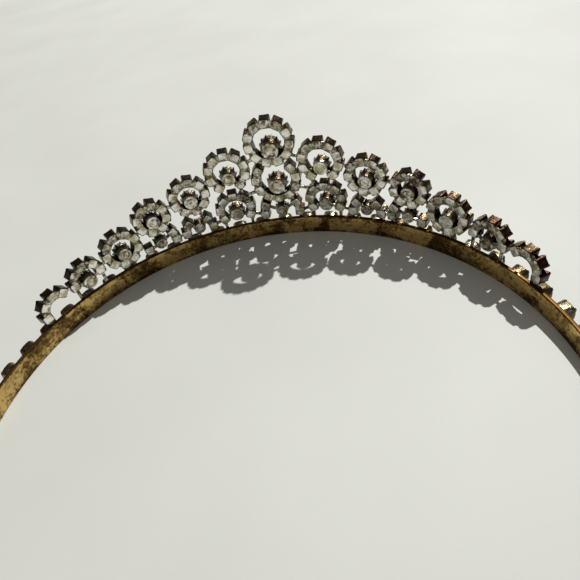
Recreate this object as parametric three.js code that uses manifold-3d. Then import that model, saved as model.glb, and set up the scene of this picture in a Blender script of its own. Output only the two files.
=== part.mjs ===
// Bridal tiara: a springy flat metal band with a row of round cups along its front, and above the
// band an openwork of loops. Each loop is a ring or arch of small square cups joined by links, with
// a round setting soldered inside it that holds one faceted stone.
//
// Frame: millimetres, +Z up, front of the tiara towards +Y, symmetric about the YZ plane. The origin
// is under the middle of the tiara's box, on the surface it stands on.
// The band's centre line is an ellipse. A place on the openwork is given by its distance along that
// line from the front and its height above the band's top edge.

import * as THREE from 'three';
import { mergeVertices } from 'three/addons/utils/BufferGeometryUtils.js';
import Module from 'manifold-3d';

const wasm = await Module();
wasm.setup();

// ---- Driving dimensions, mm and degrees -----------------------------------------------------------

// Band
const BAND_HALF_WIDTH = 70;
const BAND_HALF_DEPTH = 67.7;
const BAND_HEIGHT = 5.9;
const BAND_THICKNESS = 1;
const BAND_SWEEP = 130;
const BAND_SEGMENTS = 36;
const BAND_TIP_SEGMENTS = 16;

// Round cups along the front of the band
const BAND_CUP_PITCH = 7.2;
const BAND_CUPS_EACH_SIDE = 18;
const BAND_CUP_RIM = 4.9;
const BAND_CUP_BASE = 4.1;
const BAND_CUP_DEPTH = 3.2;
const BAND_CUP_SIDES = 8;
const BAND_CHAIN_GAP = 0.25;

// Small square cups that make up the loops
const CUP_RIM = 3.2;
const CUP_BASE = 2.8;
const CUP_DEPTH = 3;
const CUP_GAP = 0.15;
const CUP_PITCH = CUP_RIM + CUP_GAP;
const CUP_SIDES = 4;

// Links between cups, and the bridges that tie a setting to its loop
const LINK_WIDTH = 0.9;
const LINK_THICKNESS = 0.6;
const LINK_INSET = 0.5;

// The back of the loops, measured inwards from the band's centre line
const LOOP_BACK_INSET = 0.3;

// Stones and their settings
const STONE_RADIUS = { large: 2.9, medium: 2.3, small: 1.8 };
const SETTING_BASE_RADIUS = { large: 2.6, medium: 2.15, small: 1.8 };
const SETTING_DEPTH = { large: 4.5, medium: 4.2, small: 3.6 };
const SETTING_WALL = 0.3;
const STONE_CLEARANCE = 0.25;
const STONE_SIDES = 8;
const POCKET_OVERSHOOT = 1;

// Proportions of a round faceted stone, as shares of its radius
const TABLE_SHARE = 0.55;
const CROWN_SHARE = 0.32;
const GIRDLE_SHARE = 0.08;
const PAVILION_SHARE = 0.75;

// Loops of the openwork. "at" is the loop's centre, along the band and up from its top edge, and
// "drop" is how far the stone sits below that centre, all counted in cup pitches. Each run of cups
// starts "from" an angle, measured from the top of the loop and positive away from the middle of
// the tiara, and goes on by "step". Its radius follows from the pitch, unless one is given.
const CENTRE_LOOPS = [
  {
    name: 'crown', at: [0, 7.65], drop: 0.67, stone: 'large',
    runs: [{ from: 0, cups: 11, step: 360 / 11 }],
  },
  {
    name: 'heart', at: [0, 4.03], drop: 0.54, stone: 'large',
    runs: [{ from: 52, cups: 9, step: 32 }],
  },
  {
    name: 'foot', at: [0, 0.71], drop: -0.13, stone: 'small',
    runs: [{ from: 60, cups: 2, step: 35 }, { from: -95, cups: 2, step: 35 }],
  },
];
const SIDE_LOOPS = [
  {
    name: 'upper_1', at: [4.12, 5.58], drop: 0.58, stone: 'medium',
    runs: [{ from: -146, cups: 9, step: 36 }],
  },
  {
    name: 'upper_2', at: [7.94, 4.21], drop: 0.46, stone: 'medium',
    runs: [{ from: -12, cups: 9, step: 40 }],
  },
  {
    name: 'upper_3', at: [11.7, 3.48], drop: 0.33, stone: 'medium',
    runs: [{ from: -17, cups: 8, step: 45 }],
  },
  {
    name: 'upper_4', at: [15.16, 2.03], drop: 0.54, stone: 'medium',
    runs: [{ from: -31, cups: 9, step: 40 }],
  },
  {
    name: 'upper_5', at: [18.86, 1.42], drop: 0.43, stone: 'medium',
    runs: [{ from: -89, cups: 5, step: 45 }],
  },
  { name: 'end', at: [22.15, 0.76], runs: [{ from: -42, cups: 4, step: 45 }] },
  {
    name: 'lower_1', at: [4.21, 1.68], drop: 0.43, stone: 'medium',
    runs: [{ from: -120, cups: 7, step: 40 }],
  },
  {
    name: 'lower_2', at: [7.94, 0.62], drop: -0.25, stone: 'small',
    runs: [{ from: 45, cups: 2, step: 45 }, { from: -90, cups: 2, step: 45 }],
  },
  {
    name: 'lower_3', at: [11.73, 0.7], drop: -0.12, stone: 'small',
    runs: [{ from: 95, cups: 1, step: 45, radius: 1.25 }, { from: -95, cups: 2, step: 35, radius: 1.49 }],
  },
];

// Neighbouring loops that are soldered cup to cup, and how many of a loop's lowest cups are soldered
// to the band. Each of these joints ends in a thin gap.
const TIES = [
  ['crown', 'heart'], ['crown', 'upper_1'], ['heart', 'upper_1'], ['heart', 'foot'], ['heart', 'lower_1'],
  ['upper_1', 'upper_2'], ['upper_1', 'lower_1'], ['upper_2', 'upper_3'], ['upper_2', 'lower_2'],
  ['upper_3', 'upper_4'], ['upper_3', 'lower_3'], ['upper_4', 'upper_5'], ['upper_5', 'end'],
  ['lower_1', 'lower_2'], ['lower_2', 'lower_3'], ['foot', 'lower_1'],
];
const BAND_FEET = { foot: 2, lower_1: 2, lower_2: 2, lower_3: 2, upper_4: 1, upper_5: 2, end: 2 };
const JOINT_GAP = 0.3;

// ---- Materials ------------------------------------------------------------------------------------

const bandMetal = () => new THREE.MeshStandardMaterial({ color: 0x7d6638, roughness: 0.42, metalness: 1 });
const cupMetal = () => new THREE.MeshStandardMaterial({ color: 0xa39a86, roughness: 0.32, metalness: 1 });
const crystal = () => new THREE.MeshStandardMaterial({ color: 0xeef2f4, roughness: 0.04, metalness: 0 });

// ---- Solids: three.js geometry in and out of the boolean library -----------------------------------

function toSolid(geometry) {
  const bare = geometry.clone();
  bare.deleteAttribute('normal');
  bare.deleteAttribute('uv');
  const merged = mergeVertices(bare, 1e-4);
  return new wasm.Manifold(new wasm.Mesh({
    numProp: 3,
    vertProperties: new Float32Array(merged.attributes.position.array),
    triVerts: new Uint32Array(merged.index.array),
  }));
}

function toGeometry(solid) {
  const mesh = solid.getMesh();
  const geometry = new THREE.BufferGeometry();
  geometry.setAttribute('position', new THREE.BufferAttribute(new Float32Array(mesh.vertProperties), 3));
  geometry.setIndex(new THREE.BufferAttribute(new Uint32Array(mesh.triVerts), 1));
  geometry.computeVertexNormals();
  return geometry;
}

function joined(geometries) {
  return geometries.map(toSolid).reduce((whole, piece) => whole.add(piece));
}

// ---- Places on the band ----------------------------------------------------------------------------

const radians = THREE.MathUtils.degToRad;
const LINE_DIVISIONS = 2000;

// The centre line from the front (+Y) round the +X side to the band's tip.
const halfLine = new THREE.EllipseCurve(
  0, 0, BAND_HALF_WIDTH, BAND_HALF_DEPTH, radians(90), radians(90 - BAND_SWEEP), true);
halfLine.arcLengthDivisions = LINE_DIVISIONS;
const HALF_LENGTH = halfLine.getLength();

// The point on the centre line at a signed distance from the front, and the turn about +Z that
// brings local +Y to the outward direction there.
function onBand(distance) {
  const share = Math.abs(distance) / HALF_LENGTH;
  const side = Math.sign(distance) || 1;
  const point = halfLine.getPointAt(share);
  const tangent = halfLine.getTangentAt(share);
  return { x: side * point.x, y: point.y, turn: side * Math.atan2(tangent.y, tangent.x) };
}

// A group that stands on the band line: local +X along the band, +Y outwards, +Z up.
function standOnBand(distance, outwards, height) {
  const { x, y, turn } = onBand(distance);
  const group = new THREE.Group();
  group.position.set(x - Math.sin(turn) * outwards, y + Math.cos(turn) * outwards, height);
  group.rotation.z = turn;
  return group;
}

// ---- Pieces ------------------------------------------------------------------------------------------

// A strip along the ellipse, with tips rounded in elevation.
function bandGeometry() {
  const half = BAND_THICKNESS / 2;
  const start = radians(90 - BAND_SWEEP);
  const end = radians(90 + BAND_SWEEP);
  const strip = new THREE.Shape();
  strip.absellipse(0, 0, BAND_HALF_WIDTH + half, BAND_HALF_DEPTH + half, start, end, false);
  strip.absellipse(0, 0, BAND_HALF_WIDTH - half, BAND_HALF_DEPTH - half, end, start, true);
  const body = new THREE.ExtrudeGeometry(strip, {
    depth: BAND_HEIGHT, bevelEnabled: false, curveSegments: BAND_SEGMENTS,
  });
  const tips = [-1, 1].map((side) => {
    const { x, y, turn } = onBand(side * HALF_LENGTH);
    const tip = new THREE.CylinderGeometry(
      BAND_HEIGHT / 2, BAND_HEIGHT / 2, BAND_THICKNESS, BAND_TIP_SEGMENTS);
    tip.rotateZ(turn);
    tip.translate(x, y, BAND_HEIGHT / 2);
    return tip;
  });
  return toGeometry(joined([body, ...tips]));
}

// A tapered cup with its closed back at y = 0 and its rim towards +Y. Four sides make a square cup,
// measured across its flats.
function cupGeometry(rim, base, depth, sides) {
  const toCorner = 1 / Math.cos(Math.PI / sides);
  const cup = new THREE.CylinderGeometry(
    rim / 2 * toCorner, base / 2 * toCorner, depth, sides, 1, false, Math.PI / sides);
  cup.translate(0, depth / 2, 0);
  return cup;
}

// A flat bar between two points of the XZ plane.
function barGeometry([x1, z1], [x2, z2]) {
  const bar = new THREE.BoxGeometry(Math.hypot(x2 - x1, z2 - z1), LINK_THICKNESS, LINK_WIDTH);
  bar.rotateY(-Math.atan2(z2 - z1, x2 - x1));
  bar.translate((x1 + x2) / 2, LINK_INSET + LINK_THICKNESS / 2, (z1 + z2) / 2);
  return bar;
}

// The row of round cups on the band's front, joined by links that follow the band.
function bandChainGeometry() {
  const outwards = BAND_THICKNESS / 2 + BAND_CHAIN_GAP;
  const pieces = [];
  for (let k = -BAND_CUPS_EACH_SIDE; k <= BAND_CUPS_EACH_SIDE; k += 1) {
    const cup = cupGeometry(BAND_CUP_RIM, BAND_CUP_BASE, BAND_CUP_DEPTH, BAND_CUP_SIDES);
    const holder = standOnBand(k * BAND_CUP_PITCH, outwards, BAND_HEIGHT / 2);
    holder.updateMatrix();
    pieces.push(cup.applyMatrix4(holder.matrix));
    if (k < BAND_CUPS_EACH_SIDE) {
      const link = barGeometry([-BAND_CUP_PITCH / 2, 0], [BAND_CUP_PITCH / 2, 0]);
      const linkHolder = standOnBand((k + 0.5) * BAND_CUP_PITCH, outwards, BAND_HEIGHT / 2);
      linkHolder.updateMatrix();
      pieces.push(link.applyMatrix4(linkHolder.matrix));
    }
  }
  return toGeometry(joined(pieces));
}

// A round faceted stone about the middle of its girdle: its point faces -Y and its table +Y.
function stoneGeometry(radius) {
  const girdle = radius * GIRDLE_SHARE / 2;
  return new THREE.LatheGeometry([
    new THREE.Vector2(0, -girdle - radius * PAVILION_SHARE),
    new THREE.Vector2(radius, -girdle),
    new THREE.Vector2(radius, girdle),
    new THREE.Vector2(radius * TABLE_SHARE, girdle + radius * CROWN_SHARE),
    new THREE.Vector2(0, girdle + radius * CROWN_SHARE),
  ], STONE_SIDES);
}

// How far in front of a setting's back the middle of its stone's girdle sits: the girdle is sunk
// below the rim by its own width.
function girdlePlace(size) {
  const girdleWidth = STONE_RADIUS[size] * GIRDLE_SHARE;
  return SETTING_DEPTH[size] - girdleWidth - girdleWidth / 2;
}

function settingGeometry(size) {
  const rim = STONE_RADIUS[size] + STONE_CLEARANCE + SETTING_WALL;
  return cupGeometry(2 * rim, 2 * SETTING_BASE_RADIUS[size], SETTING_DEPTH[size], STONE_SIDES);
}

// The space that a stone takes in its setting, with its clearance, open to the front.
function pocketGeometry(size) {
  const radius = STONE_RADIUS[size];
  const wide = radius + STONE_CLEARANCE;
  const girdleBack = girdlePlace(size) - radius * GIRDLE_SHARE / 2;
  const slopeClearance = STONE_CLEARANCE * Math.hypot(1, PAVILION_SHARE);
  return new THREE.LatheGeometry([
    new THREE.Vector2(0, girdleBack - radius * PAVILION_SHARE - slopeClearance),
    new THREE.Vector2(wide, girdleBack + STONE_CLEARANCE * PAVILION_SHARE - slopeClearance),
    new THREE.Vector2(wide, SETTING_DEPTH[size] + POCKET_OVERSHOOT),
    new THREE.Vector2(0, SETTING_DEPTH[size] + POCKET_OVERSHOOT),
  ], STONE_SIDES);
}

// Where the cups of a run sit about the loop's centre. "side" is 1 or -1.
function cupPlaces({ from, cups, step, radius }, side) {
  const reach = radius ? radius * CUP_PITCH : CUP_PITCH / 2 / Math.sin(radians(step / 2));
  return Array.from({ length: cups }, (_, k) => {
    const angle = radians(from + k * step) * side;
    return { x: reach * Math.sin(angle), z: reach * Math.cos(angle), angle };
  });
}

// A run that comes back to within two steps of its start is closed into a ring.
const isClosed = ({ cups, step }) => 360 - (cups - 1) * step < 2 * step;

// A loop: its cups, the links between neighbours, its setting and the bridges that hold it.
function loopSolid({ loop, side }) {
  const runs = loop.runs.map((run) => cupPlaces(run, side));
  const pieces = [];
  runs.forEach((places, which) => {
    for (const { x, z, angle } of places) {
      const cup = cupGeometry(CUP_RIM, CUP_BASE, CUP_DEPTH, CUP_SIDES);
      cup.rotateY(angle);
      cup.translate(x, 0, z);
      pieces.push(cup);
    }
    const links = places.length - (isClosed(loop.runs[which]) ? 0 : 1);
    for (let k = 0; k < links; k += 1) {
      const next = places[(k + 1) % places.length];
      pieces.push(barGeometry([places[k].x, places[k].z], [next.x, next.z]));
    }
  });
  const bandTop = -loop.at[1] * CUP_PITCH;
  const lowest = runs.flat().sort((a, b) => a.z - b.z);
  for (const { x, z } of lowest.slice(0, BAND_FEET[loop.name] ?? 0)) {
    pieces.push(barGeometry([x, z], [x, bandTop + JOINT_GAP]));
  }
  if (!loop.stone) return joined(pieces);

  const centre = [0, -loop.drop * CUP_PITCH];
  const bridgesPerRun = runs.length > 1 ? 1 : 2;
  for (const places of runs) {
    const byDistance = [...places].sort((a, b) => (
      Math.hypot(a.x, a.z - centre[1]) - Math.hypot(b.x, b.z - centre[1])));
    for (const { x, z } of byDistance.slice(0, bridgesPerRun)) {
      pieces.push(barGeometry(centre, [x, z]));
    }
  }
  pieces.push(settingGeometry(loop.stone).translate(0, 0, centre[1]));
  const pocket = pocketGeometry(loop.stone).translate(0, 0, centre[1]);
  return joined(pieces).subtract(toSolid(pocket));
}

const allCups = ({ loop, side }) => loop.runs.flatMap((run) => cupPlaces(run, side));

// A bar from one loop's cup to the nearest cup of its neighbour, cut back from that cup by the gap.
function tieSolid(from, to) {
  const between = from.holder.matrix.clone().invert().multiply(to.holder.matrix);
  const pairs = allCups(from).flatMap((near) => allCups(to).map((far) => {
    const target = new THREE.Vector3(far.x, 0, far.z).applyMatrix4(between);
    return { near, far, target, distance: Math.hypot(target.x - near.x, target.z - near.z) };
  }));
  const { near, far, target } = pairs.reduce((a, b) => (b.distance < a.distance ? b : a));
  const kept = cupGeometry(
    CUP_RIM + 2 * JOINT_GAP, CUP_BASE + 2 * JOINT_GAP, CUP_DEPTH, CUP_SIDES);
  kept.rotateY(far.angle);
  kept.translate(far.x, 0, far.z);
  kept.applyMatrix4(between);
  const bar = barGeometry([near.x, near.z], [target.x, target.z]);
  return toSolid(bar).subtract(toSolid(kept));
}

// ---- Assembly ----------------------------------------------------------------------------------------

function addMesh(parent, name, geometry, material) {
  const mesh = new THREE.Mesh(geometry, material);
  mesh.name = name;
  parent.add(mesh);
  return mesh;
}

// A loop with its place: left and right loops differ only in their side.
function standLoop(loop, side, suffix) {
  const [along, up] = loop.at;
  const holder = standOnBand(
    side * along * CUP_PITCH, -LOOP_BACK_INSET, BAND_HEIGHT + up * CUP_PITCH);
  holder.updateMatrix();
  return { loop, side, suffix, holder };
}

const stands = [
  ...CENTRE_LOOPS.map((loop) => standLoop(loop, 1, '')),
  ...SIDE_LOOPS.flatMap((loop) => [standLoop(loop, -1, '_left'), standLoop(loop, 1, '_right')]),
];

const named = (name) => stands.filter(({ loop }) => loop.name === name);
const sameSide = (a, b) => a.suffix === b.suffix || !a.suffix || !b.suffix;

function addLoop(parent, stand) {
  const { loop, suffix, holder } = stand;
  const neighbours = TIES.filter(([first]) => first === loop.name)
    .flatMap(([, second]) => named(second)).filter((other) => sameSide(stand, other));
  const solid = neighbours.reduce(
    (whole, other) => whole.add(tieSolid(stand, other)), loopSolid(stand));
  addMesh(holder, `${loop.name}_loop${suffix}`, toGeometry(solid), cupMetal());
  if (loop.stone) {
    const stone = addMesh(
      holder, `${loop.name}_stone${suffix}`, stoneGeometry(STONE_RADIUS[loop.stone]), crystal());
    stone.position.set(0, girdlePlace(loop.stone), -loop.drop * CUP_PITCH);
  }
  parent.add(holder);
}

const tiara = new THREE.Group();
addMesh(tiara, 'band', bandGeometry(), bandMetal());
addMesh(tiara, 'band_cup_chain', bandChainGeometry(), cupMetal());
for (const stand of stands) addLoop(tiara, stand);

// The origin goes under the middle of the whole tiara.
tiara.updateMatrixWorld(true);
const box = new THREE.Box3().setFromObject(tiara, true);
tiara.position.y = -(box.min.y + box.max.y) / 2;

const part = new THREE.Group();
part.add(tiara);
export default part;
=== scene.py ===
import math

import bpy
import numpy as np
from bpy.props import FloatProperty, FloatVectorProperty, PointerProperty
from mathutils import Matrix, Vector


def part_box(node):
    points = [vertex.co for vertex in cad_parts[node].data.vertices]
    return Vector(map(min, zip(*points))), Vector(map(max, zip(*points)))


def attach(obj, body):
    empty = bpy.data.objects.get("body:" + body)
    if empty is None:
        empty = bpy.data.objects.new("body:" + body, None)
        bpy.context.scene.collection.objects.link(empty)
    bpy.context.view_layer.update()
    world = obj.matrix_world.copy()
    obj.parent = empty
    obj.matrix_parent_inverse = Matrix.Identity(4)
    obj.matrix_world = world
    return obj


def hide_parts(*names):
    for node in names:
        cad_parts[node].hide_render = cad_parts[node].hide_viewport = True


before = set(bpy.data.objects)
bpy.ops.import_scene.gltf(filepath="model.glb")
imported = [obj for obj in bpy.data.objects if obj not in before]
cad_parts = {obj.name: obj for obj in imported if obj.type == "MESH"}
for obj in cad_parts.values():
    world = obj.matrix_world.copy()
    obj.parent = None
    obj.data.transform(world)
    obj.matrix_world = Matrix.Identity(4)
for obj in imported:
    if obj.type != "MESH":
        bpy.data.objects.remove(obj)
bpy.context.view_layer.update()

bl_info = {
    "name": "Bridal tiara",
    "version": (1, 0, 0),
    "blender": (4, 5, 0),
    "location": "3D View > Sidebar > Tiara",
    "description": "Makes the cups, settings, stones and band of a bridal tiara round its packed frame",
    "category": "Object",
}

MM = 0.001

# ---- Layout of the openwork --------------------------------------------------------------------
# A loop's centre is along the band from the front and up from the band's top edge, and its stone
# drops below that centre, all counted in cup pitches. A run of cups is (first angle from the top
# in degrees, number of cups, step in degrees, radius in pitches or 0 where the pitch sets it).

CENTRE_LOOPS = {
    "crown": ((0, 7.65), ((0, 11, 360 / 11, 0),), 0.67, "large"),
    "heart": ((0, 4.03), ((52, 9, 32, 0),), 0.54, "large"),
    "foot": ((0, 0.71), ((60, 2, 35, 0), (-95, 2, 35, 0)), -0.13, "small"),
}
SIDE_LOOPS = {
    "upper_1": ((4.12, 5.58), ((-146, 9, 36, 0),), 0.58, "medium"),
    "upper_2": ((7.94, 4.21), ((-12, 9, 40, 0),), 0.46, "medium"),
    "upper_3": ((11.7, 3.48), ((-17, 8, 45, 0),), 0.33, "medium"),
    "upper_4": ((15.16, 2.03), ((-31, 9, 40, 0),), 0.54, "medium"),
    "upper_5": ((18.86, 1.42), ((-89, 5, 45, 0),), 0.43, "medium"),
    "end": ((22.15, 0.76), ((-42, 4, 45, 0),), 0, None),
    "lower_1": ((4.21, 1.68), ((-120, 7, 40, 0),), 0.43, "medium"),
    "lower_2": ((7.94, 0.62), ((45, 2, 45, 0), (-90, 2, 45, 0)), -0.25, "small"),
    "lower_3": ((11.73, 0.7), ((95, 1, 45, 1.25), (-95, 2, 35, 1.49)), -0.12, "small"),
}

# Neighbours soldered cup to cup, and how many of a loop's lowest cups are soldered to the band.
TIES = (
    ("crown", "heart"), ("crown", "upper_1"), ("heart", "upper_1"), ("heart", "foot"),
    ("heart", "lower_1"), ("upper_1", "upper_2"), ("upper_1", "lower_1"), ("upper_2", "upper_3"),
    ("upper_2", "lower_2"),
    ("upper_3", "upper_4"), ("upper_3", "lower_3"), ("upper_4", "upper_5"), ("upper_5", "end"),
    ("lower_1", "lower_2"), ("lower_2", "lower_3"), ("foot", "lower_1"),
)
BAND_FEET = {
    "foot": 2, "lower_1": 2, "lower_2": 2, "lower_3": 2, "upper_4": 1, "upper_5": 2, "end": 2}
BAND_CUPS_EACH_SIDE = 18

# Stone radius, setting's back radius and depth, and number of claws
SETTINGS = {
    "large": (2.9, 2.6, 4.5, 12),
    "medium": (2.3, 2.15, 4.2, 10),
    "small": (1.8, 1.8, 3.6, 8),
}
RIM_OVER_STONE = 0.55

# A round stone's table, girdle, crown and pavilion as shares of its radius
TABLE_SHARE = 0.55
GIRDLE_SHARE = 0.08
CROWN_SHARE = 0.32
PAVILION_SHARE = 0.75

# Millimetres
SMALL_STONE_RADIUS = 1.36
SMALL_STONE_SEAT = 2.4
BAND_STONE_RADIUS = 2.02
BAND_STONE_SEAT = 2.4
BAND_CUP_GAP = 0.25
# Width, back and front of the bars of solder, the webs between cups and the links on the band
BAR = (0.9, 0.4, 1.1)
WEB = (2.1, 0.1, 1.1)
BAND_LINK = (0.9, 0.5, 1.1)
BAR_CHAMFER = 0.12
FOOT_REACH = 0.15
TIE_STOP = 1.3
PLACE_TOLERANCE = 0.7

ARC_STEPS = 20001
BAND_STEPS = 321
BAND_CORNERS = 24
TIP_STEPS = 12
TIP_SHARE = 0.985
BAND_TONE_SEED = 7
LOOP_TONE_SEED = 21

# The light's direction and distance in metres from a point near the tiara's middle
LIGHT_AIM = (0, 0.02, 0)
TOWARDS_LIGHT = (0.34, 0.70, 1.0)
LIGHT_DISTANCE = 2.7
EYE = (0.0220647, -0.0702218, 0.0933098)
EYE_AIM = (0.0023112, 0.0271805, 0)
EYE_ROLL = -12.856


def linear(hex_code):
    """An sRGB hex colour as linear red, green and blue."""
    srgb = np.array([int(hex_code[i:i + 2], 16) for i in (1, 3, 5)]) / 255
    return tuple(np.where(srgb <= 0.04045, srgb / 12.92, ((srgb + 0.055) / 1.055) ** 2.4))


# ---- Sizes and finishes that a user may change -------------------------------------------------

def length(name, description, metres):
    """A property that holds a length."""
    return FloatProperty(
        name=name, description=description, default=metres, unit="LENGTH", precision=5)


def colour(name, description, hex_code):
    """A property that holds a colour, given as sRGB hex."""
    return FloatVectorProperty(
        name=name, description=description, default=linear(hex_code), subtype="COLOR", min=0, max=1)


class TiaraSizes(bpy.types.PropertyGroup):
    """Lengths of the band and of the openwork's grid"""
    half_width: length("Half width", "Half of the band's width, on its centre line", 0.070)
    half_depth: length("Half depth", "Front half of the band's depth, on its centre line", 0.0677)
    band_height: length("Band height", "Height of the flat band", 0.0059)
    band_thickness: length("Band thickness", "Thickness of the flat band", 0.001)
    band_edge: length("Band edge", "Radius on the band's edges", 0.0002)
    sweep: FloatProperty(
        name="Sweep", description="How far the band reaches round from the front, each side",
        default=math.radians(130), subtype="ANGLE")
    band_cup_pitch: length("Band cup pitch", "Distance between the round cups on the band", 0.0072)
    cup_pitch: length("Cup pitch", "Distance between the small square cups", 0.00335)
    loop_inset: length("Loop inset", "How far the loops' backs lie inside the centre line", 0.0003)


class TiaraFinishes(bpy.types.PropertyGroup):
    """Colours of the metals, the stones and the table"""
    brass: colour("Brass", "Bare rubbed brass of the band", "#d0b070")
    brass_olive: colour("Olive brass", "Brass dulled to olive", "#947a45")
    # Dark brass also paints the shade along the band's edges.
    brass_dark: colour("Dark brass", "Black-brown tarnish on the band", "#4a3318")
    plating: colour("Plating", "Clean silver-tone plating", "#fbf8f0")
    plating_olive: colour("Olive plating", "Plating under an olive film", "#b9b08c")
    bronze: colour("Bronze", "Plating worn through to bronze", "#6b6049")
    # Soot is partly tarnish and partly painted shade on the cups' walls and rims.
    soot_and_shade: colour("Soot", "Dark tarnish towards the cups' rims", "#2e1f15")
    crystal: colour("Crystal", "Clear lead glass", "#f6f9fb")
    foil: colour("Foil", "Silver foil behind a stone", "#e4e6e6")
    table: colour("Table", "Pale matt table top", "#dddcd8")


class TiaraStage(bpy.types.PropertyGroup):
    """Camera, floor and lights"""
    lens: FloatProperty(name="Lens", description="Focal length in mm", default=29.6)
    floor_size: length("Floor", "Width of the floor", 3.0)
    key_power: FloatProperty(name="Key light", description="Power in watts", default=72.0)
    key_size: length("Key size", "Width of the key light's face", 0.05)
    sky: FloatProperty(name="Fill", description="Strength of the even fill light", default=0.2)


# ---- Shapes worked out as whole arrays, in millimetres -----------------------------------------

def wrapped_quads(rows, columns):
    """Quads between neighbouring rings: point k of ring r joins k + 1 of r and both of r + 1."""
    r, k = np.meshgrid(np.arange(rows - 1), np.arange(columns), indexing="ij")
    r, k, n = r.ravel(), k.ravel(), (k.ravel() + 1) % columns
    return np.stack([r * columns + k, r * columns + n, (r + 1) * columns + n, (r + 1) * columns + k], 1)


def shell(angles, rise, power, rings):
    """A closed shell round the Y axis, back to front and down inside. At angle a a ring stands out
    by its width over (|cos a|^p + |sin a|^p)^(1/p), which is a circle at p = 2 and nearly a square
    at p = 8, and forward by its height; the rise at that angle, 0 to 1, adds the ring's extra width
    and height, which lifts the rim into claws. Rings are (width, height, extra width, extra height).
    """
    width, height, more_width, more_height = np.array(rings, float).T[:, :, None]
    out = (np.abs(np.cos(angles)) ** power + np.abs(np.sin(angles)) ** power) ** (-1 / power)
    radius = (width + more_width * rise) * out
    forward = height + more_height * rise
    points = np.stack([radius * np.sin(angles), forward, radius * np.cos(angles)], -1).reshape(-1, 3)
    count, rows = len(angles), len(rings)
    ring = np.arange(count)
    faces = [wrapped_quads(rows, count), ring[None, ::-1], ring[None] + (rows - 1) * count]
    return points, faces


def facing_out(points, faces):
    """Turns each face of a convex shape so that its normal points away from the shape's middle."""
    middle = points.mean(0)
    turned = []
    for face in faces:
        a, b, c = points[face[:, 0]], points[face[:, 1]], points[face[:, 2]]
        inward = (np.cross(b - a, c - b) * (points[face].mean(1) - middle)).sum(1) < 0
        turned.append(np.where(inward[:, None], face[:, ::-1], face))
    return turned


def brilliant(radius):
    """A round brilliant, girdle middle at the origin and table towards +Y: an eight-sided table,
    eight stars, eight kites and sixteen girdle facets above, and eight long kites and sixteen
    girdle facets below. The star and lower points sit where the kites stay flat. Returns points,
    faces seen through and foiled faces."""
    eighth, sixteenth = np.arange(8), np.arange(16)
    half_turn = math.cos(math.pi / 8)
    star, low = 0.78, 0.32

    def circle(steps, share, height):
        return np.stack([share * np.sin(steps * math.pi / 8), np.full(len(steps), height),
                         share * np.cos(steps * math.pi / 8)], 1)

    half_girdle = GIRDLE_SHARE / 2
    crown_slope = CROWN_SHARE / (1 - TABLE_SHARE)
    points = np.concatenate([
        circle(eighth * 2, TABLE_SHARE, half_girdle + CROWN_SHARE),
        circle(eighth * 2 + 1, star, half_girdle + crown_slope * (1 - star * half_turn)),
        circle(sixteenth, 1, half_girdle),
        circle(sixteenth, 1, -half_girdle),
        circle(eighth * 2 + 1, low, -half_girdle - PAVILION_SHARE * (1 - low * half_turn)),
        [[0, -half_girdle - PAVILION_SHARE, 0]],
    ]) * radius
    table, stars, girdle, under, lows, culet = eighth, 8 + eighth, 16, 32, 48 + eighth, 56
    after, before = (eighth + 1) % 8, (eighth - 1) % 8
    even, odd, next_even = eighth * 2, eighth * 2 + 1, (eighth * 2 + 2) % 16
    clear = [
        table[None],
        np.stack([table, stars, table[after]], 1),
        np.stack([stars[before], table, stars, girdle + even], 1),
        np.stack([stars, girdle + even, girdle + odd], 1),
        np.stack([stars, girdle + odd, girdle + next_even], 1),
        np.stack([girdle + sixteenth, girdle + (sixteenth + 1) % 16,
                  under + (sixteenth + 1) % 16, under + sixteenth], 1),
    ]
    foiled = [
        np.stack([lows, under + even, under + odd], 1),
        np.stack([lows, under + odd, under + next_even], 1),
        np.stack([lows[before], under + even, lows, np.full(8, culet)], 1),
    ]
    return points, facing_out(points, clear), facing_out(points, foiled)


def chaton(radius):
    """A small eight-sided stone: a table turned half a side against the girdle, with sixteen facets
    between them, and eight facets down to the point. Returns as brilliant does."""
    eighth = np.arange(8)
    after = (eighth + 1) % 8
    table_share, crown, girdle, point = 0.6, 0.42, 0.06, -0.75

    def circle(turn, share, height):
        angle = (eighth + turn) * math.pi / 4
        return np.stack([share * np.sin(angle), np.full(8, height), share * np.cos(angle)], 1)

    points = np.concatenate([
        circle(0, table_share, crown), circle(0.5, 1, girdle), circle(0.5, 1, -girdle),
        [[0, point, 0]]]) * radius
    clear = [
        eighth[None],
        np.stack([eighth, 8 + eighth, eighth[after]], 1),
        np.stack([eighth[after], 8 + eighth, 8 + after], 1),
        np.stack([8 + eighth, 16 + eighth, 16 + after, 8 + after], 1),
    ]
    foiled = [np.stack([16 + eighth, 16 + after, np.full(8, 24)], 1)]
    return points, facing_out(points, clear), facing_out(points, foiled)


def bars(starts, ends, width, back, front):
    """Flat bars between pairs of points of a loop's plane, with their long edges chamfered: an
    eight-sided section carried from one point to the other."""
    starts, ends = np.atleast_2d(starts), np.atleast_2d(ends)
    run = ends - starts
    across = np.stack([-run[:, 1], run[:, 0]], 1) / np.linalg.norm(run, axis=1)[:, None]
    half, inner = width / 2, width / 2 - BAR_CHAMFER
    low, high = back + BAR_CHAMFER, front - BAR_CHAMFER
    section = np.array([
        [-half, low], [-inner, back], [inner, back], [half, low],
        [half, high], [inner, front], [-inner, front], [-half, high]])
    ring = np.arange(8)
    faces = [wrapped_quads(2, 8), ring[None], ring[None] + 8]
    at = np.stack([starts, ends], 1)[:, :, None, :] + across[:, None, None, :] * section[:, 0, None]
    points = np.stack([at[..., 0], np.broadcast_to(section[:, 1], at.shape[:3]), at[..., 1]], -1)
    points = points.reshape(len(starts), 16, 3)
    faces = facing_out(points[0], faces)
    return points, faces


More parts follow.
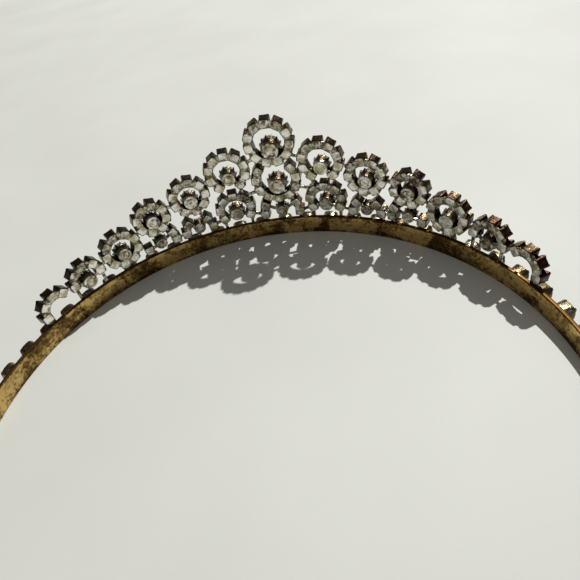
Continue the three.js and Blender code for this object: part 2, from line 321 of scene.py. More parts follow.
def tiled(points, faces):
    """Copies side by side: points is (copies, points, 3), and each copy's faces count on from the
    last copy's."""
    copies, size = points.shape[:2]
    shift = np.arange(copies)[:, None, None] * size
    return points.reshape(-1, 3), [(face[None] + shift).reshape(-1, face.shape[1]) for face in faces]


def placed(points, placements):
    """Points moved by each 4 x 4 placement: (placements, points, 3)."""
    return np.einsum("kij,pj->kpi", placements[:, :3, :3], points) + placements[:, None, :3, 3]


# ---- Places ------------------------------------------------------------------------------------

def sizes():
    """The tiara's sizes as the user has set them."""
    return bpy.context.scene.tiara_sizes


def band_places(distances):
    """4 x 4 placements on the band's centre line: local +X along the band, +Y outwards, +Z up. The
    ellipse's arc length is added up in small steps from the front and read backwards at each
    distance; past the band's end the line goes on straight."""
    s = sizes()
    wide, deep = s.half_width / MM, s.half_depth / MM
    turn = np.linspace(0, s.sweep, ARC_STEPS)
    x, y = wide * np.sin(turn), deep * np.cos(turn)
    along = np.concatenate([[0], np.cumsum(np.hypot(np.diff(x), np.diff(y)))])
    distances = np.asarray(distances, float)
    side = np.where(distances < 0, -1.0, 1.0)
    reach = np.abs(distances)
    angle = np.interp(reach, along, turn)
    tangent = np.stack([wide * np.cos(angle), -deep * np.sin(angle)], -1)
    tangent /= np.linalg.norm(tangent, axis=-1, keepdims=True)
    past = np.maximum(reach - along[-1], 0)
    point = np.stack([wide * np.sin(angle), deep * np.cos(angle)], -1) + tangent * past[..., None]
    point[..., 0] *= side
    tangent[..., 1] *= side
    # The object's frame lies under the middle of its box, so the line moves with the band's front.
    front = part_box("band")[1].y / MM - deep - s.band_thickness / MM / 2
    place = np.zeros(distances.shape + (4, 4))
    place[..., 0, 0], place[..., 1, 0] = tangent[..., 0], tangent[..., 1]
    place[..., 0, 1], place[..., 1, 1] = -tangent[..., 1], tangent[..., 0]
    place[..., 2, 2] = place[..., 3, 3] = 1
    place[..., 0, 3], place[..., 1, 3] = point[..., 0], point[..., 1] + front
    return place, along[-1]


def moved(place, offset):
    """A placement with its origin moved by an offset in its own axes."""
    shift = np.eye(4)
    shift[:3, 3] = offset
    return place @ shift


def loop_place(loop, side):
    """The placement of a loop's centre: along the band, a little inside its line, and up from it."""
    s = sizes()
    (along, up), pitch = loop[0], s.cup_pitch / MM
    place = band_places([side * along * pitch])[0][0]
    return moved(place, (0, -s.loop_inset / MM, s.band_height / MM + up * pitch))


def cup_runs(loop, side):
    """Each run's cups in the loop's plane: their points and their angles from the top."""
    pitch = sizes().cup_pitch / MM
    runs = []
    for start, cups, step, radius in loop[1]:
        reach = radius * pitch or pitch / 2 / math.sin(math.radians(step / 2))
        angle = np.radians(start + np.arange(cups) * step) * side
        runs.append((np.stack([reach * np.sin(angle), reach * np.cos(angle)], 1), angle))
    return runs


def facing(points, angles):
    """Placements at points of a loop's plane, turned about its Y axis so that +Z points outwards."""
    place = np.zeros((len(points), 4, 4))
    place[:, 0, 0] = place[:, 2, 2] = np.cos(angles)
    place[:, 0, 2], place[:, 2, 0] = np.sin(angles), -np.sin(angles)
    place[:, 1, 1] = place[:, 3, 3] = 1
    place[:, 0, 3], place[:, 2, 3] = points[:, 0], points[:, 1]
    return place


def every_loop():
    """(name, left-right suffix, loop, side) of each loop of the openwork."""
    for name, loop in CENTRE_LOOPS.items():
        yield name, "", loop, 1
    for name, loop in SIDE_LOOPS.items():
        yield name, "_left", loop, -1
        yield name, "_right", loop, 1


# ---- Meshes and materials ----------------------------------------------------------------------

def make_piece(name, parts, materials, stands_for, crease=30):
    """Joins parts into one mesh and gives it to the frame. A part is (points in mm, [(face array,
    material number)], {attribute: value per point})."""
    points = np.concatenate([part[0] for part in parts]) * MM
    starts = np.cumsum([0] + [len(part[0]) for part in parts])
    corners, totals, numbers = [], [], []
    for start, (_, faces, _) in zip(starts, parts):
        for face, material in faces:
            corners.append((face + start).ravel())
            totals.append(np.full(len(face), face.shape[1]))
            numbers.append(np.full(len(face), material))
    corners, totals, numbers = map(np.concatenate, (corners, totals, numbers))
    mesh = bpy.data.meshes.new(name)
    mesh.vertices.add(len(points))
    mesh.vertices.foreach_set("co", points.ravel())
    mesh.loops.add(len(corners))
    mesh.loops.foreach_set("vertex_index", corners.astype(np.int32))
    mesh.polygons.add(len(totals))
    mesh.polygons.foreach_set("loop_start", (np.cumsum(totals) - totals).astype(np.int32))
    mesh.polygons.foreach_set("material_index", numbers.astype(np.int32))
    for key in parts[0][2]:
        values = np.concatenate([np.broadcast_to(part[2][key], len(part[0])) for part in parts])
        attribute = mesh.attributes.new(key, "FLOAT", "POINT")
        attribute.data.foreach_set("value", values.astype(np.float32))
    for material in materials:
        mesh.materials.append(material)
    mesh.update(calc_edges=True)
    if mesh.validate(clean_customdata=False):
        raise RuntimeError(f"{name} has faces that Blender had to repair")
    if crease:
        mesh.shade_smooth()
        mesh.set_sharp_from_angle(angle=math.radians(crease))
    piece = bpy.data.objects.new(name, mesh)
    bpy.context.scene.collection.objects.link(piece)
    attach(piece, "root")
    if stands_for:
        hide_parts(*stands_for)
    return piece


def part(points, faces, **values):
    """A part of a piece in its first material, with values for its points."""
    return points, [(face, 0) for face in faces], values


def add(tree, kind, links=None, **settings):
    """Adds a node: settings are its own values, and links gives each input a socket or a value."""
    made = tree.nodes.new(kind)
    for key, value in settings.items():
        setattr(made, key, value)
    for key, value in (links or {}).items():
        socket = made.inputs[key]
        if isinstance(value, bpy.types.NodeSocket):
            tree.links.new(value, socket)
        else:
            socket.default_value = value
    return made


def new_material(name):
    """An empty node material and its output node."""
    material = bpy.data.materials.new(name)
    material.use_nodes = True
    material.node_tree.nodes.clear()
    return material, material.node_tree, material.node_tree.nodes.new("ShaderNodeOutputMaterial")


def tarnished_brass():
    """Rolled brass strip, bare and years old: rubbed gold patches a few millimetres wide over an
    olive film, black-brown in the hollows, with fine draw lines along the strip, and painted shade
    along both long edges."""
    material, tree, out = new_material("tarnished rolled brass")
    finish = bpy.context.scene.tiara_finishes
    place = add(tree, "ShaderNodeTexCoord").outputs["Object"]
    strip = add(tree, "ShaderNodeUVMap", uv_map="along").outputs["UV"]
    # Patches 6 mm wide with curled edges, grain 0.8 mm, draw lines 0.4 mm apart and 12 mm long.
    patches = add(tree, "ShaderNodeTexNoise", {
        "Vector": place, "Scale": 150, "Detail": 6, "Roughness": 0.6, "Distortion": 0.6})
    grain = add(tree, "ShaderNodeTexNoise", {
        "Vector": place, "Scale": 1200, "Detail": 4, "Roughness": 0.6})
    stretched = add(tree, "ShaderNodeMapping", {"Vector": strip, "Scale": (80, 2500, 1)})
    lines = add(tree, "ShaderNodeTexNoise", {
        "Vector": stretched.outputs[0], "Scale": 1, "Detail": 3})
    edge = add(tree, "ShaderNodeSeparateXYZ", {"Vector": strip})
    mixed = add(tree, "ShaderNodeMath", {
        0: grain.outputs[0], 1: 0.6, 2: patches.outputs[0]}, operation="MULTIPLY_ADD")
    film = add(tree, "ShaderNodeMapRange", {
        "Value": mixed.outputs[0], "From Min": 0.72, "From Max": 0.88})
    rubbed = add(tree, "ShaderNodeMix", {
        0: film.outputs[0], 6: (*finish.brass_olive, 1), 7: (*finish.brass, 1)}, data_type="RGBA")
    # Dark tarnish gathers where the patch noise is low. Both edges of the strip are also darkened as
    # painted shade: along the bottom, and along the top, where it damps the edge's glint.
    painted_low_edge_shade = add(tree, "ShaderNodeMapRange", {
        "Value": edge.outputs[1], "From Min": 0.0002, "From Max": 0.0018, "To Min": 0.14, "To Max": 0})
    painted_top_edge_shade = add(tree, "ShaderNodeMapRange", {
        "Value": edge.outputs[1], "From Min": 0.0054, "From Max": 0.0058, "To Max": 0.35})
    edges = add(tree, "ShaderNodeMath", {
        0: painted_low_edge_shade.outputs[0], 1: painted_top_edge_shade.outputs[0]}, operation="ADD")
    lowered = add(tree, "ShaderNodeMath", {
        0: mixed.outputs[0], 1: edges.outputs[0]}, operation="SUBTRACT")
    lined = add(tree, "ShaderNodeMath", {
        0: lines.outputs[0], 1: 0.5, 2: lowered.outputs[0]}, operation="MULTIPLY_ADD")
    tarnish_and_edge_shade = add(tree, "ShaderNodeMapRange", {
        "Value": lined.outputs[0], "From Min": 1.12, "From Max": 0.86})
    brown = add(tree, "ShaderNodeMix", {
        0: tarnish_and_edge_shade.outputs[0], 6: rubbed.outputs[2], 7: (*finish.brass_dark, 1)}, data_type="RGBA")
    rough = add(tree, "ShaderNodeMapRange", {
        "Value": patches.outputs[0], "From Min": 0.35, "From Max": 0.65, "To Min": 0.58, "To Max": 0.36})
    height = add(tree, "ShaderNodeMath", {
        0: grain.outputs[0], 1: lines.outputs[0]}, operation="ADD")
    bump = add(tree, "ShaderNodeBump", {
        "Height": height.outputs[0], "Strength": 0.25, "Distance": 0.0001})
    shader = add(tree, "ShaderNodeBsdfPrincipled", {
        "Base Color": brown.outputs[2], "Metallic": 1, "Roughness": rough.outputs[0],
        "Normal": bump.outputs[0]})
    tree.links.new(shader.outputs[0], out.inputs[0])
    return material


def worn_plating():
    """Stamped brass cups with thin silver-tone plating: clean and satin on the backs that rub on
    hair, bronze on the walls and nearly black towards the rims, where handling never reaches; this
    darkening is partly tarnish and partly painted shade. Depth is 0 at a cup's back and 1 at its
    rim, and tone is how dark the cup is."""
    material, tree, out = new_material("worn silver-tone plating")
    finish = bpy.context.scene.tiara_finishes
    place = add(tree, "ShaderNodeTexCoord").outputs["Object"]
    depth = add(tree, "ShaderNodeAttribute", attribute_name="depth").outputs["Fac"]
    tone = add(tree, "ShaderNodeAttribute", attribute_name="tone").outputs["Fac"]
    # Blotches 1.2 mm wide, olive film in clouds 2.5 mm wide, and pits 0.2 mm wide.
    blotch = add(tree, "ShaderNodeTexNoise", {
        "Vector": place, "Scale": 800, "Detail": 5, "Roughness": 0.65})
    film = add(tree, "ShaderNodeTexNoise", {"Vector": place, "Scale": 420, "Detail": 3})
    pits = add(tree, "ShaderNodeTexNoise", {"Vector": place, "Scale": 5000, "Detail": 2})
    marked = add(tree, "ShaderNodeMath", {
        0: blotch.outputs[0], 1: 2.6, 2: -0.98}, operation="MULTIPLY_ADD")
    # Depth and the blotches set how far a spot darkens: tarnish, with painted shade on the walls and
    # rims.
    worn = add(tree, "ShaderNodeMath", {
        0: depth, 1: 1.4, 2: marked.outputs[0]}, operation="MULTIPLY_ADD")
    worn = add(tree, "ShaderNodeMath", {
        0: tone, 1: 0.42, 2: worn.outputs[0]}, operation="MULTIPLY_ADD")
    to_olive = add(tree, "ShaderNodeMapRange", {
        "Value": film.outputs[0], "From Min": 0.42, "From Max": 0.62})
    to_bronze = add(tree, "ShaderNodeMapRange", {
        "Value": worn.outputs[0], "From Min": 0.5, "From Max": 1.0})
    to_soot_and_shade = add(tree, "ShaderNodeMapRange", {
        "Value": worn.outputs[0], "From Min": 0.95, "From Max": 1.7})
    filmed = add(tree, "ShaderNodeMix", {
        0: to_olive.outputs[0], 6: (*finish.plating, 1), 7: (*finish.plating_olive, 1)}, data_type="RGBA")
    bronzed = add(tree, "ShaderNodeMix", {
        0: to_bronze.outputs[0], 6: filmed.outputs[2], 7: (*finish.bronze, 1)}, data_type="RGBA")
    sooty_and_shaded = add(tree, "ShaderNodeMix", {
        0: to_soot_and_shade.outputs[0], 6: bronzed.outputs[2], 7: (*finish.soot_and_shade, 1)}, data_type="RGBA")
    rough = add(tree, "ShaderNodeMapRange", {
        "Value": pits.outputs[0], "From Min": 0.3, "From Max": 0.7, "To Min": 0.14, "To Max": 0.34})
    bump = add(tree, "ShaderNodeBump", {
        "Height": blotch.outputs[0], "Strength": 0.7, "Distance": 0.0003})
    shader = add(tree, "ShaderNodeBsdfPrincipled", {
        "Base Color": sooty_and_shaded.outputs[2], "Metallic": 1, "Roughness": rough.outputs[0],
        "Normal": bump.outputs[0]})
    tree.links.new(shader.outputs[0], out.inputs[0])
    return material


def cut_crystal():
    """Machine-cut lead glass: polished flat facets with a faint smear of fingerprints."""
    material, tree, out = new_material("cut lead glass")
    finish = bpy.context.scene.tiara_finishes
    place = add(tree, "ShaderNodeTexCoord").outputs["Object"]
    # Smears 1.1 mm wide.
    smear = add(tree, "ShaderNodeTexNoise", {"Vector": place, "Scale": 900, "Detail": 3})
    rough = add(tree, "ShaderNodeMapRange", {
        "Value": smear.outputs[0], "From Min": 0.4, "From Max": 0.8, "To Min": 0.0, "To Max": 0.05})
    shader = add(tree, "ShaderNodeBsdfPrincipled", {
        "Base Color": (*finish.crystal, 1), "Roughness": rough.outputs[0], "IOR": 1.56,
        "Transmission Weight": 1})
    tree.links.new(shader.outputs[0], out.inputs[0])
    return material


def mirror_foil():
    """Vacuum-laid silver foil under a stone's lower facets, spotted grey where damp got in."""
    material, tree, out = new_material("silver mirror foil")
    finish = bpy.context.scene.tiara_finishes
    place = add(tree, "ShaderNodeTexCoord").outputs["Object"]
    # Spots 0.7 mm wide.
    spots = add(tree, "ShaderNodeTexNoise", {"Vector": place, "Scale": 1500, "Detail": 3})
    grey = add(tree, "ShaderNodeMapRange", {
        "Value": spots.outputs[0], "From Min": 0.5, "From Max": 0.72})
    spotted = add(tree, "ShaderNodeMix", {
        0: grey.outputs[0], 6: (*finish.foil, 1), 7: (*finish.bronze, 1)}, data_type="RGBA")
    shader = add(tree, "ShaderNodeBsdfPrincipled", {
        "Base Color": spotted.outputs[2], "Metallic": 1, "Roughness": 0.06})
    tree.links.new(shader.outputs[0], out.inputs[0])
    return material


def matt_table():
    """Matt white laminate: a pale even surface with a faint cloudiness and a fine tooth."""
    material, tree, out = new_material("matt white laminate")
    finish = bpy.context.scene.tiara_finishes
    place = add(tree, "ShaderNodeTexCoord").outputs["Object"]
    # Clouds 60 mm wide and tooth 0.8 mm wide.
    clouds = add(tree, "ShaderNodeTexNoise", {"Vector": place, "Scale": 16, "Detail": 3})
    tooth = add(tree, "ShaderNodeTexNoise", {"Vector": place, "Scale": 1200, "Detail": 2})
    fade = add(tree, "ShaderNodeMapRange", {
        "Value": clouds.outputs[0], "To Min": 0.88, "To Max": 1.06})
    cloudy = add(tree, "ShaderNodeVectorMath", {
        0: finish.table[:], 3: fade.outputs[0]}, operation="SCALE")
    bump = add(tree, "ShaderNodeBump", {
        "Height": tooth.outputs[0], "Strength": 0.15, "Distance": 0.0001})
    shader = add(tree, "ShaderNodeBsdfPrincipled", {
        "Base Color": cloudy.outputs[0], "Roughness": 0.62, "Normal": bump.outputs[0]})
    tree.links.new(shader.outputs[0], out.inputs[0])
    return material


def shared(name, maker):
    """The material of that name, made on first use."""
    return bpy.data.materials.get(name) or maker()


def plating():
    """The cups' material."""
    return shared("worn silver-tone plating", worn_plating)


def stone_materials():
    """A stone's glass and the foil behind it."""
    return [shared("cut lead glass", cut_crystal), shared("silver mirror foil", mirror_foil)]


def stone_parts(stone, placements):
    """Copies of a stone, with its clear faces in glass and its lower faces in foil."""
    points, clear, foiled = stone
    where, faces = tiled(placed(points, placements), clear + foiled)
    return where, [(face, int(k >= len(clear))) for k, face in enumerate(faces)], {}


# ---- Pieces ------------------------------------------------------------------------------------

class TIARA_OT_band(bpy.types.Operator):
    """Makes the flat springy band"""
    bl_idname = "tiara.band"
    bl_label = "Band"

    def execute(self, context):
        """The section is a box with round corners, each corner a quarter circle set in by its
        radius. It is carried along the centre line, and past the line's end, by t, its half height
        is the square root of (h squared less t squared), which rounds the tip off."""
        s = sizes()
        half, height = s.band_thickness / MM / 2, s.band_height / MM
        end = band_places([0])[1]
        past = height / 2 * np.sin(np.linspace(0, math.pi / 2, TIP_STEPS)[1:] * TIP_SHARE)
        line = np.linspace(-end, end, BAND_STEPS)
        distances = np.concatenate([-(end + past[::-1]), line, end + past])
        places = band_places(distances)[0]
        beyond = np.maximum(np.abs(distances) - end, 0)
        tall = np.sqrt(np.maximum((height / 2) ** 2 - beyond ** 2, 1e-4))
        edge = np.minimum(s.band_edge / MM, tall * 0.9)
        corner = (np.arange(BAND_CORNERS) + 0.5) * math.tau / BAND_CORNERS
        y = np.sign(np.cos(corner)) * (half - edge[:, None]) + edge[:, None] * np.cos(corner)
        z = (height / 2 + np.sign(np.sin(corner)) * (tall - edge)[:, None]
             + edge[:, None] * np.sin(corner))
        local = np.stack([np.zeros_like(y), y, z], -1)
        points = np.einsum("kij,kpj->kpi", places[:, :3, :3], local) + places[:, None, :3, 3]
        rows, ring = len(distances), np.arange(BAND_CORNERS)
        faces = [wrapped_quads(rows, BAND_CORNERS), ring[None, ::-1],
                 ring[None] + (rows - 1) * BAND_CORNERS]
        material = shared("tarnished rolled brass", tarnished_brass)
        piece = make_piece("band_strip", [part(points.reshape(-1, 3), faces)], [material],
                           ["band"], crease=40)
        corners = np.empty(len(piece.data.loops), np.int32)
        piece.data.loops.foreach_get("vertex_index", corners)
        flat = np.stack([np.repeat(distances, BAND_CORNERS), z.ravel()], 1)[corners] * MM
        piece.data.uv_layers.new(name="along").data.foreach_set("uv", flat.ravel().astype(np.float32))
        return {"FINISHED"}


class TIARA_OT_band_cups(bpy.types.Operator):
    """Makes the row of round cups on the band, their links and their stones"""
    bl_idname = "tiara.band_cups"
    bl_label = "Band cups"

    def execute(self, context):
        """Cups stand at whole pitches from the front, and links halfway between them."""
        s = sizes()
        pitch, middle = s.band_cup_pitch / MM, s.band_height / MM / 2
        outwards = s.band_thickness / MM / 2 + BAND_CUP_GAP
        count = np.arange(-BAND_CUPS_EACH_SIDE, BAND_CUPS_EACH_SIDE + 1)
        spots = np.stack([moved(place, (0, outwards, middle))
                          for place in band_places(count * pitch)[0]])
        cup, faces, depth = round_cup()
        cups, cup_faces = tiled(placed(cup, spots), faces)
        rng = np.random.default_rng(BAND_TONE_SEED)
        tone = np.repeat(rng.normal(0.3, 0.4, len(count)), len(cup))
        parts = [part(cups, cup_faces, depth=np.tile(depth, len(count)), tone=tone)]
        link_spots = np.stack([moved(place, (0, outwards, middle))
                               for place in band_places((count[:-1] + 0.5) * pitch)[0]])
        link, link_faces = bars([[-pitch / 2, 0]], [[pitch / 2, 0]], *BAND_LINK)
        links, link_faces = tiled(placed(link[0], link_spots), link_faces)
        parts.append(part(links, link_faces, depth=0.45, tone=0.3))
        make_piece("band_cups", parts, [plating()], ["band_cup_chain"], crease=35)
        high = np.stack([moved(spot, (0, BAND_STONE_SEAT, 0)) for spot in spots])
        make_piece("band_stones", [stone_parts(brilliant(BAND_STONE_RADIUS), high)],
                   stone_materials(), [], crease=0)
        return {"FINISHED"}


def setting_shell(size):
    """A round setting: a flat back disc with a pressed ring, a waisted wall, and pointed claws that
    flare from it and lean in over the stone. Returns points, faces and depth: tarnish with painted
    shade, and claw tips lightened as painted highlight."""
    radius, back, deep, claws = SETTINGS[size]
    rim = radius + RIM_OVER_STONE
    spread = rim - back
    angles = np.arange(claws * 8) * math.tau / (claws * 8)
    rise = np.tile([0, 0, 0.1, 0.8, 1, 0.8, 0.1, 0], claws)
    valley = 0.45 * deep
    rings = [
        (back * 0.5, 0, 0, 0), (back * 0.54, 0.09, 0, 0), (back * 0.6, 0.09, 0, 0),
        (back * 0.64, 0, 0, 0), (back * 0.93, 0, 0, 0), (back, 0.18, 0, 0), (back * 0.95, 0.7, 0, 0),
        (back + spread * 0.4, valley, 0, 0),
        (back + spread * 0.45, valley + 0.15, spread * 0.55, 0.34 * deep),
        (back + spread * 0.45 - 0.05, valley + 0.2, spread * 0.4, deep - valley - 0.2),
        (back + spread * 0.45 - 0.34, valley + 0.2, spread * 0.25, deep - valley - 0.3),
        (back + spread * 0.4 - 0.36, valley * 0.85, 0, 0), (back * 0.4, 0.5, 0, 0)]
    points, faces = shell(angles, rise, 2, rings)
    depth = np.array([0.15, 0.25, 0.25, 0.15, 0.2, 0.6, 0.45, 0.9, 0.9, 0.8, 1, 0.8, 0.6])[:, None]
    # The claw tips are lighter: worn clean, and a painted highlight for their glints.
    worn_clean_and_glint = np.array([0, 0, 0, 0, 0, 0, 0, 0, 0.4, 0.9, 0.9, 0, 0])[:, None] * rise
    return points, faces, (depth - worn_clean_and_glint).ravel()


def square_cup():
    """A square claw cup: a flat back, straight walls, and a small claw at each corner that leans in
    over its stone. Returns points, faces and depth: tarnish with painted shade, and painted
    highlights on the wall tops and claws."""
    quarter = np.radians([0, 27, 39, 51, 63])
    angles = (quarter + np.arange(4)[:, None] * math.pi / 2).ravel()
    points, faces = shell(angles, np.tile([0, 0, 1, 1, 0], 4), 8, [
        (1.14, 0, 0, 0), (1.4, 0.2, 0, 0), (1.59, 2.66, -0.05, 0.3), (1.4, 2.62, -0.12, 0.28),
        (1.2, 1.4, 0, 0)])
    corner = np.tile([0, 0.8, 1, 1, 0.8], 4)
    # The chamfer and the wall top are darker at the corners. The wall top is lighter mid-side as a
    # painted highlight, and the claws are lighter at the corners, worn clean and painted highlight.
    at_walls, at_corners = np.array([[0, 0.8, 0.5, 1, 0.8], [0, 0.4, 0.5, -0.4, 0]])[:, :, None]
    return points, faces, (at_walls + at_corners * corner).ravel()


def round_cup():
    """A round cup of the band's row, a little squared, with four claws and a pressed ring on its
    back. Returns points, faces and depth: tarnish with painted shade towards the rim."""
    quarter = np.radians([0, 18, 32, 40, 50, 58, 72])
    angles = (quarter + np.arange(4)[:, None] * math.pi / 2).ravel()
    rise = np.tile([0, 0, 0, 1, 1, 0, 0], 4)
    points, faces = shell(angles, rise, 2.8, [
        (1.2, 0, 0, 0), (1.3, 0.08, 0, 0), (1.4, 0, 0, 0), (1.9, 0, 0, 0), (2.05, 0.15, 0, 0),
        (2.4, 2.45, -0.02, 0.25), (2.36, 2.6, -0.22, 0.55), (2.18, 2.6, -0.24, 0.5),
        (2.05, 2.25, 0, 0), (1.0, 0.7, 0, 0)])
    return points, faces, np.repeat([0, 0.3, 0, 0, 0.5, 0.7, 1, 1, 0.8, 0.6], len(angles))


def bar_part(starts, ends):
    """Bars of bronze-coloured solder, set a little forward of the cups' backs."""
    points, faces = tiled(*bars(starts, ends, *BAR))
    return part(points, faces, depth=0.3, tone=0.2)


def web_part(starts, ends):
    """Broad webs of solder that fill the space between neighbouring cups almost to their backs."""
    points, faces = tiled(*bars(starts, ends, *WEB))
    return part(points, faces, depth=0.3, tone=0.4)


def loop_metal(name, loop, side, rng):
    """The metal of one loop: its cups, the links between neighbours, the bars that stand it on the
    band, the setting and its bridges. Cups near a loop's top are the darkest."""
    cup, cup_faces, depth = square_cup()
    runs = cup_runs(loop, side)
    parts = []
    for (points, turn), (_, _, step, _) in zip(runs, loop[1]):
        spots, faces = tiled(placed(cup, facing(points, turn)), cup_faces)
        tone = rng.normal(0, 0.45, len(turn)) + 1.5 * np.clip(np.cos(turn) - 0.3, 0, 1)
        parts.append(part(
            spots, faces, depth=np.tile(depth, len(turn)), tone=np.repeat(tone, len(cup))))
        ends = np.roll(points, -1, axis=0)
        if 360 - (len(turn) - 1) * step >= 2 * step:
            points, ends = points[:-1], ends[:-1]
        if len(points):
            parts.append(web_part(points, ends))
    pitch = sizes().cup_pitch / MM
    cups = np.concatenate([points for points, _ in runs])
    feet = cups[np.argsort(cups[:, 1], kind="stable")][:BAND_FEET.get(name, 0)]
    if len(feet):
        band_top = np.full(len(feet), -loop[0][1] * pitch - FOOT_REACH)
        parts.append(bar_part(feet, np.stack([feet[:, 0], band_top], 1)))
    drop, size = loop[2], loop[3]
    if size:
        centre = np.array([0, -drop * pitch])
        nearest = [points[np.argsort(np.linalg.norm(points - centre, axis=1), kind="stable")]
                   for points, _ in runs]
        ends = np.concatenate([points[:1 if len(runs) > 1 else 2] for points in nearest])
        parts.append(bar_part(np.tile(centre, (len(ends), 1)), ends))
        setting, faces, depth = setting_shell(size)
        parts.append(part(setting + np.array([centre[0], 0, centre[1]]), faces, depth=depth,
                          tone=rng.normal(0.25, 0.35)))
    return parts


def tie_part(here, there):
    """A solder bar between the nearest two cups of neighbouring loops. It ends inside the far cup's
    wall, short of that cup's middle."""
    (loop, side, place), (far_loop, far_side, far_place) = here, there
    near = np.concatenate([points for points, _ in cup_runs(loop, side)])
    far = np.concatenate([points for points, _ in cup_runs(far_loop, far_side)])
    flat = np.stack([far[:, 0], np.zeros(len(far)), far[:, 1], np.ones(len(far))])
    far = (np.linalg.inv(place) @ far_place @ flat)[[0, 2]].T
    apart = np.linalg.norm(near[:, None] - far[None], axis=2)
    a, b = np.unravel_index(apart.argmin(), apart.shape)
    end = near[a] + (far[b] - near[a]) * (1 - TIE_STOP / apart[a, b])
    return bar_part([near[a]], [end])


class TIARA_OT_loops(bpy.types.Operator):
    """Makes the metal of every loop: square claw cups, links, and the round setting"""
    bl_idname = "tiara.loops"
    bl_label = "Loops"

    def execute(self, context):
        """Each loop carries its own bars to the neighbours that TIES names after it."""
        rng = np.random.default_rng(LOOP_TONE_SEED)
        stands = [(name, suffix, (loop, side, loop_place(loop, side)))
                  for name, suffix, loop, side in every_loop()]
        for name, suffix, here in stands:
            loop, side, place = here
            made = loop_metal(name, loop, side, rng)
            made += [tie_part(here, there) for other, other_suffix, there in stands
                     if (name, other) in TIES and (suffix == other_suffix or not suffix)]
            parts = [(placed(points, place[None])[0], faces, values)
                     for points, faces, values in made]
            node = f"{name}_loop{suffix}"
            piece = make_piece(
                f"{name}_cups{suffix}", parts, [plating()], [node], crease=35)
            check_place(piece, node)
        return {"FINISHED"}


def check_place(piece, node):
    """Stops if a piece's box is further off its CAD node's than the tolerance."""
    box = np.array([corner[:] for corner in piece.bound_box])
    wanted = np.array([corner[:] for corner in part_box(node)])
    off = np.abs(np.array([box.min(0), box.max(0)]) - wanted).max() / MM
    if off > PLACE_TOLERANCE:
        raise RuntimeError(f"{piece.name} is {off:.2f} mm away from {node}")


class TIARA_OT_small_stones(bpy.types.Operator):
    """Sets a small stone in every square cup"""
    bl_idname = "tiara.small_stones"
    bl_label = "Small stones"

    def execute(self, context):
        """Every stone sits at the same height in its cup."""
        spots = []
        for _, _, loop, side in every_loop():
            place = loop_place(loop, side)
            for points, turn in cup_runs(loop, side):
                local = facing(points, turn)
                local[:, 1, 3] = SMALL_STONE_SEAT
                spots.append(place @ local)
        stones = stone_parts(chaton(SMALL_STONE_RADIUS), np.concatenate(spots))
        make_piece("small_stones", [stones], stone_materials(), [], crease=0)
        return {"FINISHED"}


class TIARA_OT_set_stones(bpy.types.Operator):
    """Sets the large round stones in their settings"""
    bl_idname = "tiara.set_stones"
    bl_label = "Round stones"

    def execute(self, context):
        """The girdle sits one and a half girdle widths below the setting's full depth."""
        pitch = sizes().cup_pitch / MM
        for name, suffix, loop, side in every_loop():
            if loop[3] is None:
                continue
            radius, _, deep, _ = SETTINGS[loop[3]]
            girdle_height = deep - radius * GIRDLE_SHARE * 1.5
            seat = moved(loop_place(loop, side), (0, girdle_height, -loop[2] * pitch))
            node = f"{name}_stone{suffix}"
            stone = stone_parts(brilliant(radius), seat[None])
            piece = make_piece(f"{name}_brilliant{suffix}", [stone], stone_materials(), [node],
                               crease=0)
            check_place(piece, node)
        return {"FINISHED"}


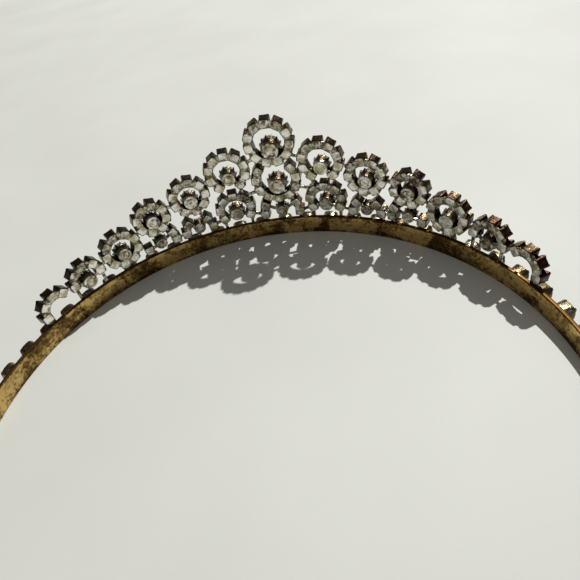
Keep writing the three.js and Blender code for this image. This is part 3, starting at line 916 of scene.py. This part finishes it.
class TIARA_OT_stage(bpy.types.Operator):
    """Makes the table top, the lights and the camera"""
    bl_idname = "tiara.stage"
    bl_label = "Stage"

    def execute(self, context):
        """The camera looks over the band's back from a hand's width behind it and above."""
        scene = context.scene
        stage = scene.tiara_stage
        half = stage.floor_size / 2
        mesh = bpy.data.meshes.new("table_top")
        mesh.from_pydata([(-half, -half, 0), (half, -half, 0), (half, half, 0), (-half, half, 0)],
                         [], [(0, 1, 2, 3)])
        mesh.materials.append(shared("matt white laminate", matt_table))
        table = bpy.data.objects.new("table_top", mesh)
        scene.collection.objects.link(table)

        towards_light = Vector(TOWARDS_LIGHT).normalized()
        lamp = bpy.data.lights.new("key", "AREA")
        lamp.shape, lamp.size, lamp.energy = "DISK", stage.key_size, stage.key_power
        lamp.color = (0.985, 1, 0.955)
        key = bpy.data.objects.new("key", lamp)
        key.location = Vector(LIGHT_AIM) + towards_light * LIGHT_DISTANCE
        key.rotation_euler = towards_light.to_track_quat("Z", "Y").to_euler()
        scene.collection.objects.link(key)

        world = bpy.data.worlds.new("room")
        world.use_nodes = True
        background = world.node_tree.nodes["Background"]
        background.inputs["Color"].default_value = (1, 1, 0.95, 1)
        background.inputs["Strength"].default_value = stage.sky
        scene.world = world
        scene.view_settings.view_transform = "Standard"

        eye, aim = Vector(EYE), Vector(EYE_AIM)
        data = bpy.data.cameras.new("camera")
        data.lens, data.sensor_width, data.clip_start = stage.lens, 36, 0.005
        camera = bpy.data.objects.new("camera", data)
        level = (aim - eye).to_track_quat("-Z", "Y").to_matrix()
        tilt = Matrix.Rotation(math.radians(EYE_ROLL), 3, "Z")
        camera.matrix_world = Matrix.Translation(eye) @ (level @ tilt).to_4x4()
        scene.collection.objects.link(camera)
        scene.camera = camera
        return {"FINISHED"}


class TIARA_PT_panel(bpy.types.Panel):
    """Sizes, finishes and makers of the tiara"""
    bl_idname = "TIARA_PT_panel"
    bl_label = "Bridal tiara"
    bl_space_type = "VIEW_3D"
    bl_region_type = "UI"
    bl_category = "Tiara"

    def draw(self, context):
        """Every property in a box for its group, then a button for each maker."""
        scene = context.scene
        for group in (scene.tiara_sizes, scene.tiara_finishes, scene.tiara_stage):
            box = self.layout.box()
            for name in group.__annotations__:
                box.prop(group, name)
        for maker in MAKERS:
            self.layout.operator(maker.bl_idname)


MAKERS = (TIARA_OT_stage, TIARA_OT_band, TIARA_OT_band_cups, TIARA_OT_loops, TIARA_OT_small_stones,
          TIARA_OT_set_stones)
CLASSES = (TiaraSizes, TiaraFinishes, TiaraStage, *MAKERS, TIARA_PT_panel)


def register():
    """Adds the classes and the scene's properties."""
    for cls in CLASSES:
        bpy.utils.register_class(cls)
    bpy.types.Scene.tiara_sizes = PointerProperty(type=TiaraSizes)
    bpy.types.Scene.tiara_finishes = PointerProperty(type=TiaraFinishes)
    bpy.types.Scene.tiara_stage = PointerProperty(type=TiaraStage)


def unregister():
    """Takes away what register added."""
    del bpy.types.Scene.tiara_stage, bpy.types.Scene.tiara_finishes, bpy.types.Scene.tiara_sizes
    for cls in reversed(CLASSES):
        bpy.utils.unregister_class(cls)


def main():
    """Makes the stage and every piece."""
    register()
    for maker in ("stage", "band", "band_cups", "loops", "small_stones", "set_stones"):
        getattr(bpy.ops.tiara, maker)()


if __name__ == "__main__":
    main()
